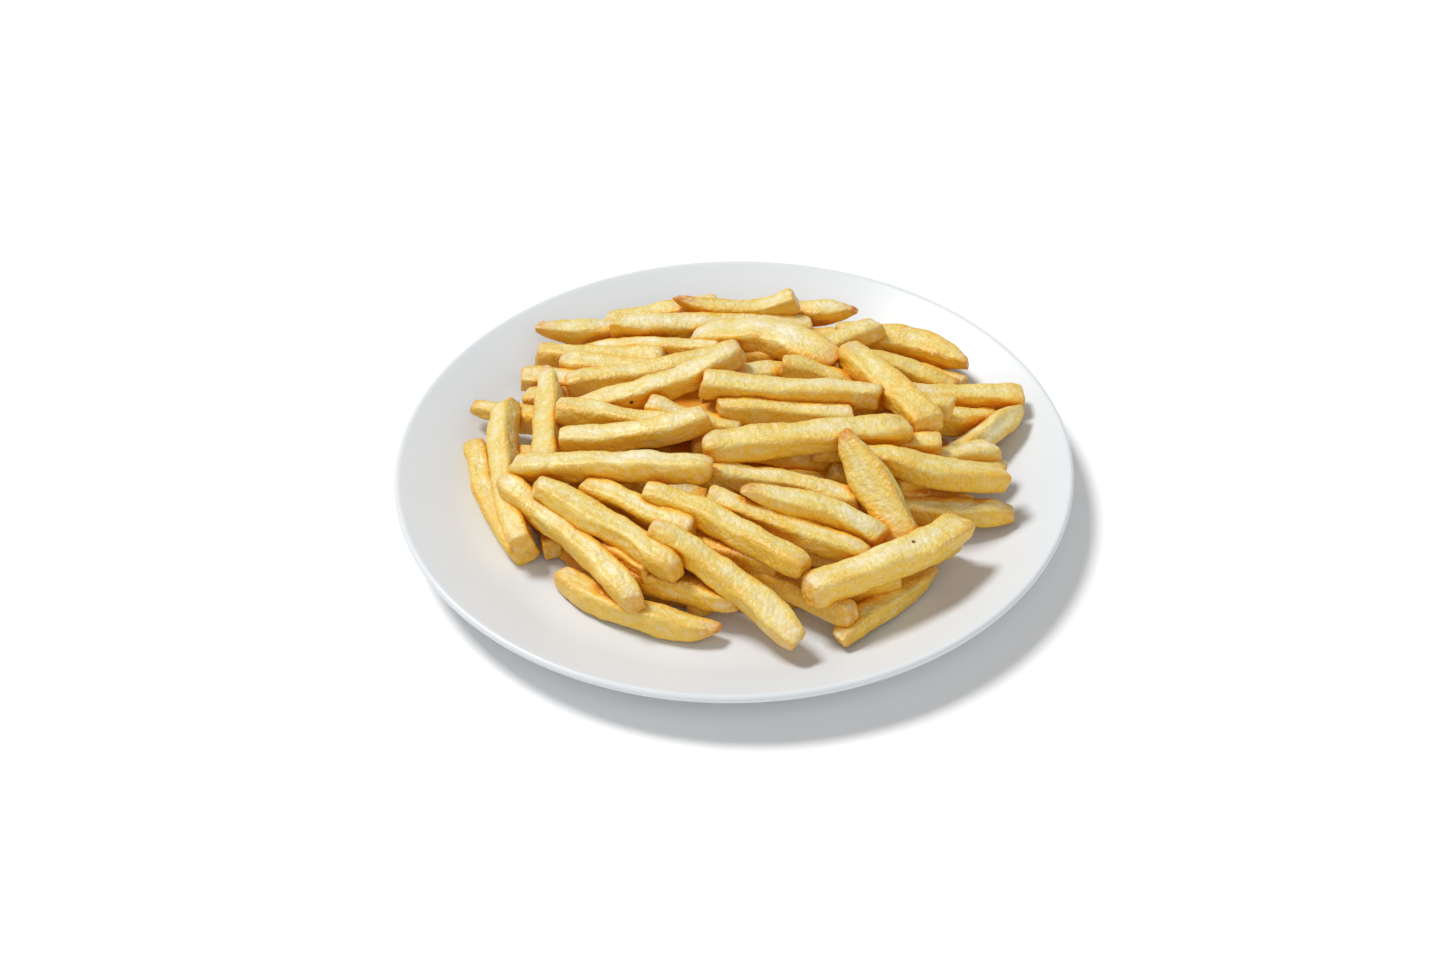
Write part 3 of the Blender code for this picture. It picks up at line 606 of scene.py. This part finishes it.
def applied(item, name):
    """The evaluated mesh as a plain object, without the one it came from."""
    evaluated = item.evaluated_get(bpy.context.evaluated_depsgraph_get())
    mesh = bpy.data.meshes.new_from_object(evaluated, preserve_all_data_layers=True,
                                           depsgraph=bpy.context.evaluated_depsgraph_get())
    mesh.name = name
    bpy.data.objects.remove(item)
    result = bpy.data.objects.new(name, mesh)
    bpy.context.scene.collection.objects.link(result)
    return result


def face_outwards(item):
    """Turns the faces round if the closed shape is inside out."""
    builder = bmesh.new()
    builder.from_mesh(item.data)
    if builder.calc_volume(signed=True) < 0:
        bmesh.ops.reverse_faces(builder, faces=builder.faces)
        builder.to_mesh(item.data)
    builder.free()


def swept_fries(name, rails, tree, objects):
    """One piece from many middle lines; objects gives the tree's inputs that aren't numbers."""
    item = rail_object(name + "_rails", rails)
    sweep = item.modifiers.new("sweep", "NODES")
    sweep.node_group = tree
    for socket in tree.interface.items_tree:
        if socket.in_out == "INPUT" and socket.name in objects:
            sweep[socket.identifier] = objects[socket.name]
    result = applied(item, name)
    face_outwards(result)
    return result


# ---------------------------------------------------------------- finishes
CRUST_DRY = "#f2e7cc"
CRUST_PALE = "#e8d8a0"
CRUST_YELLOW = "#e4ca6e"
CRUST_GOLD = "#e2b644"
# painted shade on the faces turned away from the top
PAINTED_SIDE_SHADE = "#f2be26"
# painted shade where neighbours cover the skin, lighter and then deeper; the deeper one also colours the core
PAINTED_HOLLOW_SHADE = "#efb722"
PAINTED_DEEP_SHADE = "#dd8a04"
CRUST_EDGE = "#e2a428"
CRUST_BROWN = "#cf7418"
CRUST_CHAR = "#5a2c12"
PORCELAIN = "#dcdfe2"
PORCELAIN_COOL = "#dadee1"
FLOOR_WHITE = "#f6f6f6"

# sizes of the crust's patterns in mm, and the part of each pattern's range that is used
BROAD_PATCH, BROAD_RANGE = 14, (0.3, 0.7)
FINE_PATCH, FINE_RANGE, FINE_DETAIL = 2.2, (0.34, 0.66), 3.0
BLISTER_SIZE, BLISTER_RANGE, BLISTER_DETAIL = 1.1, (0.56, 0.68), 1.0
SHEEN_PATCH, SHEEN_RANGE, SHEEN_ROUGHNESS = 6, (0.35, 0.7), (0.3, 0.55)
BUMP_SIZE, BUMP_DETAIL = 1.6, 3.0
# how much each one makes the crust golden, and where the four crust colours lie on that scale
BROAD_WEIGHT, FINE_WEIGHT, TONE_WEIGHT, CORNER_WEIGHT = 0.35, 0.24, 0.28, 0.42
GOLDEN_PLACES = (0.1, 0.36, 0.64, 0.98)
# ranges in and out: of the face's upward turn, the shelter, the nearness to an edge, or a pattern
# painted shade: first on the faces turned away from the top, then where neighbours cover the skin
SIDE_SHADE_TURN, SIDE_SHADE_SHARE = (0.7, 0.05), (0.6, 0.9)
HOLLOW_SHADE_SHELTER, HOLLOW_SHADE_SHARE = (0.02, 0.35), (0.0, 0.85)
DEEP_SHADE_SHELTER, DEEP_SHADE_SHARE = (0.25, 0.7), (0.0, 0.95)
EDGE_CORNER, EDGE_PATCH, EDGE_SHARE = (0.6, 0.84), (0.2, 0.8), 0.6
# pale blisters come out more on the upward faces: real blisters with painted top light
BLISTER_AND_TOP_LIGHT_TURN, BLISTER_AND_TOP_LIGHT_SHARE = (0.0, 0.5), (0.2, 0.6)
ENDS_PATCH, ENDS_SHARE = (0.5, 1.0), 0.95
SPECK_EDGE = (0.0011, 0.0006)          # distance from a dark spot's middle, in metres, out to in
SHADED_PATCH, SHADED_RANGE, SHADED_DETAIL = 8, (0.35, 0.7), 3.0
GLAZE_CLOUD, GLAZE_RANGE, GLAZE_DETAIL = 40, (0.3, 0.7), 2.0
GLAZE_RIPPLE, RIPPLE_DETAIL = 14, 1.0


def new_finish(name):
    """A new material with its tree and its shader."""
    material = bpy.data.materials.new(name)
    material.use_nodes = True
    return material, material.node_tree, material.node_tree.nodes["Principled BSDF"]


def mixed(tree, factor, first, second, mode="MIX"):
    """One colour over another."""
    node = tree.nodes.new("ShaderNodeMix")
    node.data_type = "RGBA"
    node.blend_type = mode
    for socket, value in ((node.inputs[0], factor), (node.inputs[6], first), (node.inputs[7], second)):
        if isinstance(value, bpy.types.NodeSocket):
            tree.links.new(value, socket)
        else:
            socket.default_value = value
    return node.outputs[2]


def ranged(tree, value, low, high, to_low=0.0, to_high=1.0):
    """A value eased from one range into another."""
    return add_node(tree, "ShaderNodeMapRange", {"Value": value, "From Min": low, "From Max": high,
                                                 "To Min": to_low, "To Max": to_high},
                    interpolation_type="SMOOTHSTEP").outputs[0]


def mottle(tree, place, seed, size, detail=2.0):
    """Uneven patches of about one size in mm, from 0 to 1."""
    return add_node(tree, "ShaderNodeTexNoise", {"Vector": place, "W": seed, "Scale": 1 / (size * MM),
                                                 "Detail": detail}, noise_dimensions="4D").outputs[0]


def dry_crust(tree, broad, fine, tone, corner):
    """Palest in the middle of each face, yellow and then golden towards its long edges."""
    golden = maths(tree, "MULTIPLY", broad, BROAD_WEIGHT)
    for value, weight in ((fine, FINE_WEIGHT), (tone, TONE_WEIGHT), (corner, CORNER_WEIGHT)):
        golden = maths(tree, "ADD", golden, maths(tree, "MULTIPLY", value, weight))
    ramp = add_node(tree, "ShaderNodeValToRGB", {0: golden})
    colours = (CRUST_DRY, CRUST_PALE, CRUST_YELLOW, CRUST_GOLD)
    while len(ramp.color_ramp.elements) < len(colours):
        ramp.color_ramp.elements.new(1.0)
    for stop, place, colour in zip(ramp.color_ramp.elements, GOLDEN_PLACES, colours):
        stop.position = place
        stop.color = linear(colour)
    return ramp.outputs[0]


def painted_shade_crust(tree, colour, fine, turned_up):
    """Painted shade: darker and more golden on the faces that turn away from the top, and deeper golden where
    neighbours cover it.
    """
    # painted shade on the faces turned away from the top, patchy with the fine pattern
    turned_away = ranged(tree, turned_up, *SIDE_SHADE_TURN)
    side_shade = maths(tree, "MULTIPLY", turned_away, ranged(tree, fine, 0.0, 1.0, *SIDE_SHADE_SHARE))
    colour = mixed(tree, side_shade, colour, linear(PAINTED_SIDE_SHADE))
    # painted shade: the more neighbours cover a place, the deeper golden it is painted
    shelter = add_node(tree, "ShaderNodeAttribute", attribute_name="shelter").outputs["Fac"]
    colour = mixed(tree, ranged(tree, shelter, *HOLLOW_SHADE_SHELTER, *HOLLOW_SHADE_SHARE), colour, linear(PAINTED_HOLLOW_SHADE))
    return mixed(tree, ranged(tree, shelter, *DEEP_SHADE_SHELTER, *DEEP_SHADE_SHARE), colour, linear(PAINTED_DEEP_SHADE))


def fried_potato():
    """Potato fried in oil: a thin matt crust, pale where it is dry and blistered, browner at its ends and
    edges, with a weak uneven sheen of oil; painted light on the upward faces' blisters, and painted shade on
    the faces turned away and where neighbours cover it."""
    material, tree, shader = new_finish("fried_potato_crust")
    own = add_node(tree, "ShaderNodeAttribute", attribute_name="fry_place").outputs["Vector"]
    seed, tone, brown, across, above = (
        add_node(tree, "ShaderNodeAttribute", attribute_name=name).outputs["Fac"]
        for name in ("seed", "tone", "brown", "across", "above"))
    broad = ranged(tree, mottle(tree, own, seed, BROAD_PATCH), *BROAD_RANGE)
    fine = ranged(tree, mottle(tree, own, seed, FINE_PATCH, FINE_DETAIL), *FINE_RANGE)
    corner = maths(tree, "MULTIPLY", maths(tree, "ABSOLUTE", across), maths(tree, "ABSOLUTE", above))
    normal = add_node(tree, "ShaderNodeNewGeometry").outputs["Normal"]
    turned_up = add_node(tree, "ShaderNodeSeparateXYZ", {0: normal}).outputs[2]
    colour = dry_crust(tree, broad, fine, tone, corner)
    colour = painted_shade_crust(tree, colour, fine, turned_up)
    # the four long edges cook first
    edge = maths(tree, "MULTIPLY", ranged(tree, corner, *EDGE_CORNER), ranged(tree, broad, *EDGE_PATCH))
    colour = mixed(tree, maths(tree, "MULTIPLY", edge, EDGE_SHARE), colour, linear(CRUST_EDGE))
    blister_and_top_light = ranged(tree, mottle(tree, own, seed, BLISTER_SIZE, BLISTER_DETAIL), *BLISTER_RANGE)
    blister_and_top_light = maths(tree, "MULTIPLY", blister_and_top_light, broad)
    # painted top light: the real blisters show more strongly on faces turned up
    blister_and_top_light = maths(tree, "MULTIPLY", blister_and_top_light, ranged(tree, turned_up, *BLISTER_AND_TOP_LIGHT_TURN, *BLISTER_AND_TOP_LIGHT_SHARE))
    colour = mixed(tree, blister_and_top_light, colour, linear(CRUST_DRY))
    ends = maths(tree, "MULTIPLY", brown, ranged(tree, fine, 0.0, 1.0, *ENDS_PATCH))
    colour = mixed(tree, maths(tree, "MULTIPLY", ends, ENDS_SHARE), colour, linear(CRUST_BROWN))
    speck = add_node(tree, "ShaderNodeAttribute", attribute_name="speck").outputs["Vector"]
    away = add_node(tree, "ShaderNodeVectorMath", {0: own, 1: speck}, operation="DISTANCE").outputs["Value"]
    colour = mixed(tree, ranged(tree, away, *SPECK_EDGE), colour, linear(CRUST_CHAR))
    tree.links.new(colour, shader.inputs["Base Color"])

    sheen = ranged(tree, mottle(tree, own, seed, SHEEN_PATCH), *SHEEN_RANGE, *SHEEN_ROUGHNESS)
    tree.links.new(sheen, shader.inputs["Roughness"])
    shader.inputs["IOR"].default_value = 1.45
    shader.inputs["Specular IOR Level"].default_value = 0.5
    shader.inputs["Coat Weight"].default_value = 0.2
    shader.inputs["Coat Roughness"].default_value = 0.32
    shader.inputs["Subsurface Weight"].default_value = 0.15
    shader.inputs["Subsurface Radius"].default_value = (1.0, 0.85, 0.4)
    shader.inputs["Subsurface Scale"].default_value = 0.003
    grain = mottle(tree, own, seed, BUMP_SIZE, BUMP_DETAIL)
    bump = add_node(tree, "ShaderNodeBump", {"Strength": 0.9, "Distance": 0.001, "Height": grain})
    tree.links.new(bump.outputs[0], shader.inputs["Normal"])
    return material


def soft_potato():
    """The dim crust at the bottom of the heap, seen only through gaps: painted shade in deep golden and
    orange.
    """
    material, tree, shader = new_finish("fried_potato_shaded")
    place = add_node(tree, "ShaderNodeTexCoord").outputs["Object"]
    noise = add_node(tree, "ShaderNodeTexNoise", {"Vector": place, "Scale": 1 / (SHADED_PATCH * MM),
                                                  "Detail": SHADED_DETAIL}).outputs[0]
    colour = mixed(tree, ranged(tree, noise, *SHADED_RANGE), linear(PAINTED_DEEP_SHADE), linear(CRUST_EDGE))
    tree.links.new(colour, shader.inputs["Base Color"])
    shader.inputs["Roughness"].default_value = 0.6
    return material


def glazed_porcelain():
    """White porcelain under a clear fired glaze: smooth, glossy, very slightly cool."""
    material, tree, shader = new_finish("white_glazed_porcelain")
    place = add_node(tree, "ShaderNodeTexCoord").outputs["Object"]
    cloud = add_node(tree, "ShaderNodeTexNoise", {"Vector": place, "Scale": 1 / (GLAZE_CLOUD * MM),
                                                  "Detail": GLAZE_DETAIL}).outputs[0]
    colour = mixed(tree, ranged(tree, cloud, *GLAZE_RANGE), linear(PORCELAIN), linear(PORCELAIN_COOL))
    tree.links.new(colour, shader.inputs["Base Color"])
    shader.inputs["Roughness"].default_value = 0.3
    shader.inputs["IOR"].default_value = 1.5
    shader.inputs["Specular IOR Level"].default_value = 0.35
    ripple = add_node(tree, "ShaderNodeTexNoise", {"Vector": place, "Scale": 1 / (GLAZE_RIPPLE * MM),
                                                   "Detail": RIPPLE_DETAIL}).outputs[0]
    bump = add_node(tree, "ShaderNodeBump", {"Strength": 0.05, "Distance": 0.0005, "Height": ripple})
    tree.links.new(bump.outputs[0], shader.inputs["Normal"])
    return material


def studio_floor():
    """Matt white board, with no gloss at all."""
    material, _, shader = new_finish("matt_white_floor")
    shader.inputs["Base Color"].default_value = linear(FLOOR_WHITE)
    shader.inputs["Roughness"].default_value = 0.9
    shader.inputs["Specular IOR Level"].default_value = 0.0
    return material


# ---------------------------------------------------------------- plate and core
def plate_profile():
    """Upper face outwards, round the lip, and back along the underside over the foot ring."""
    lip = RIM_WALL / 2
    lip_centre = PLATE_RADIUS - lip
    upper = [(r, WELL_HEIGHT) for r in np.linspace(0, WELL_RADIUS - WELL_SEAM, WELL_STEPS)]
    upper += [(r, float(plate_top(r))) for r in np.linspace(WELL_RADIUS, lip_centre, RIM_STEPS)]
    middle = upper[-1][1] - lip
    edge = [(lip_centre + lip * math.sin(a), middle + lip * math.cos(a)) for a in np.radians(LIP_ANGLES)]
    under = []
    for r in np.linspace(lip_centre, FOOT_RADIUS + UNDER_START, UNDER_STEPS):
        share = (r - FOOT_RADIUS) / (lip_centre - FOOT_RADIUS)
        wall = WELL_WALL + (RIM_WALL - WELL_WALL) * share
        under.append((r, float(plate_top(r)) - wall))
    inner = FOOT_RADIUS - FOOT_WIDTH
    foot = [(FOOT_RADIUS + out, WELL_HEIGHT - WELL_WALL + up) for out, up in FOOT_FILLET]
    foot += [(FOOT_RADIUS - into, up) for into, up in FOOT_CORNER]
    foot += [(inner + into, up) for into, up in reversed(FOOT_CORNER)]
    foot += [(inner + out, FOOT_RECESS + up) for out, up in FOOT_HOLLOW]
    foot += [(r, FOOT_RECESS) for r in np.linspace(inner - RECESS_START, 0, RECESS_STEPS)]
    return upper + edge + under + foot


def make_plate():
    """Turns the outline round the axis into one closed shell."""
    builder = bmesh.new()
    points = [builder.verts.new((radius * MM, 0, height * MM)) for radius, height in plate_profile()]
    for first, second in zip(points, points[1:]):
        builder.edges.new((first, second))
    mesh = bpy.data.meshes.new("dinner_plate")
    builder.to_mesh(mesh)
    builder.free()
    turned = bpy.data.objects.new("dinner_plate_outline", mesh)
    bpy.context.scene.collection.objects.link(turned)
    screw = turned.modifiers.new("turn", "SCREW")
    screw.steps = screw.render_steps = PLATE_SIDES
    screw.use_merge_vertices = True
    screw.merge_threshold = MERGE_WITHIN
    plate = applied(turned, "dinner_plate")
    face_outwards(plate)
    plate.data.shade_smooth()
    plate.data.materials.clear()
    plate.data.materials.append(glazed_porcelain())
    return plate


def make_core():
    """A low mound under the fries, so that no gap shows through to the plate."""
    builder = bmesh.new()
    bmesh.ops.create_uvsphere(builder, u_segments=CORE_SEGMENTS, v_segments=CORE_RINGS, radius=1.0)
    for vertex in builder.verts:
        x, y, z = (vertex.co[k] * CORE_HALF_SIZE[k] + CORE_CENTRE[k] for k in range(3))
        ripple = math.sin(x / CORE_RIPPLE_X) * math.cos(y / CORE_RIPPLE_Y)
        z += CORE_RIPPLE * ripple * max(0.0, vertex.co.z)
        vertex.co = Vector((x, y, max(z, float(plate_top(math.hypot(x, y))) + GAP))) * MM
    mesh = bpy.data.meshes.new("fries_core")
    builder.to_mesh(mesh)
    builder.free()
    core = bpy.data.objects.new("fries_core", mesh)
    bpy.context.scene.collection.objects.link(core)
    face_outwards(core)
    core.data.shade_smooth()
    core.data.materials.append(soft_potato())
    return core


# ---------------------------------------------------------------- studio
CAMERA_DISTANCE = 1.2
CAMERA_LIFT = 40.34        # degrees above the table
CAMERA_ROLL = -1.07
CAMERA_LENS = 75.97
CAMERA_AIM = (-5.55, -12.67, 20.0)
SENSOR_WIDTH = 36.0
FLOOR_SIZE = 6.0
SUN_FROM = (-0.46, 0.30, 0.84)
SUN_SIZE = 18.0
SUN_STRENGTH = 2.5
SKY_STRENGTH = 0.36
FILL_FROM = (0.25, -0.80, 0.55)
FILL_SIZE = 70.0
FILL_STRENGTH = 0.8


def make_camera():
    """Looks down at the plate, turned a little about its line of sight."""
    lift, roll = math.radians(CAMERA_LIFT), math.radians(CAMERA_ROLL)
    back = Vector((0, -math.cos(lift), math.sin(lift)))
    right = Vector((1, 0, 0))
    up = back.cross(right)
    turned_right = right * math.cos(roll) + up * math.sin(roll)
    turned_up = -right * math.sin(roll) + up * math.cos(roll)
    place = Matrix((turned_right, turned_up, back)).transposed().to_4x4()
    place.translation = Vector(CAMERA_AIM) * MM + back * CAMERA_DISTANCE
    data = bpy.data.cameras.new("camera")
    data.lens = CAMERA_LENS
    data.sensor_width = SENSOR_WIDTH
    camera = bpy.data.objects.new("camera", data)
    camera.matrix_world = place
    bpy.context.scene.collection.objects.link(camera)
    bpy.context.scene.camera = camera


def make_light():
    """A soft sun from behind, a wide weak fill from the front, and an even sky."""
    for name, place, size, strength in (("key", SUN_FROM, SUN_SIZE, SUN_STRENGTH),
                                        ("fill", FILL_FROM, FILL_SIZE, FILL_STRENGTH)):
        data = bpy.data.lights.new(name, "SUN")
        data.energy = strength
        data.angle = math.radians(size)
        lamp = bpy.data.objects.new(name, data)
        lamp.rotation_euler = Vector(place).to_track_quat("Z", "Y").to_euler()
        bpy.context.scene.collection.objects.link(lamp)
    world = bpy.data.worlds.new("studio")
    world.use_nodes = True
    world.node_tree.nodes["Background"].inputs["Color"].default_value = (1, 1, 1, 1)
    world.node_tree.nodes["Background"].inputs["Strength"].default_value = SKY_STRENGTH
    bpy.context.scene.world = world
    bpy.context.scene.view_settings.view_transform = "Standard"


def make_floor():
    """The board that the plate stands on; it is staging, not part of the portion."""
    bpy.ops.mesh.primitive_plane_add(size=FLOOR_SIZE)
    floor = bpy.context.object
    floor.name = "floor"
    floor.data.materials.append(studio_floor())


# ---------------------------------------------------------------- the portion
def make_fries():
    """Five pieces, from the bed up, each one holding about a sixth to a quarter of the fries."""
    rows = BED + HEAP
    fries = settle(rows)
    tree = fry_tree()
    objects = {"Section": section_object(), "Skin": fried_potato()}
    rails = [fry_rail(row, fry, seed) for seed, (row, fry) in enumerate(zip(rows, fries))]
    objects["Neighbours"] = swept_fries("all_fries", rails, tree, objects)
    layers = ("fries_low", "fries_middle", "fries_upper", "fries_top")
    share = len(HEAP) // len(layers)
    groups = {"fries_bed": range(len(BED))}
    for number, name in enumerate(layers):
        start = len(BED) + number * share
        groups[name] = range(start, start + share)
    pieces = [swept_fries(name, [rails[i] for i in group], tree, objects) for name, group in groups.items()]
    bpy.data.objects.remove(objects["Section"])
    bpy.data.objects.remove(objects["Neighbours"])
    return pieces


def declare(piece, node):
    """Says what a piece rides on and which solid it replaces, and hides that solid."""
    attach(piece, "root")
    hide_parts(node)


def main():
    declare(make_plate(), "plate")
    for piece in make_fries() + [make_core()]:
        declare(piece, "french_fries")
    make_floor()
    make_light()
    make_camera()


main()
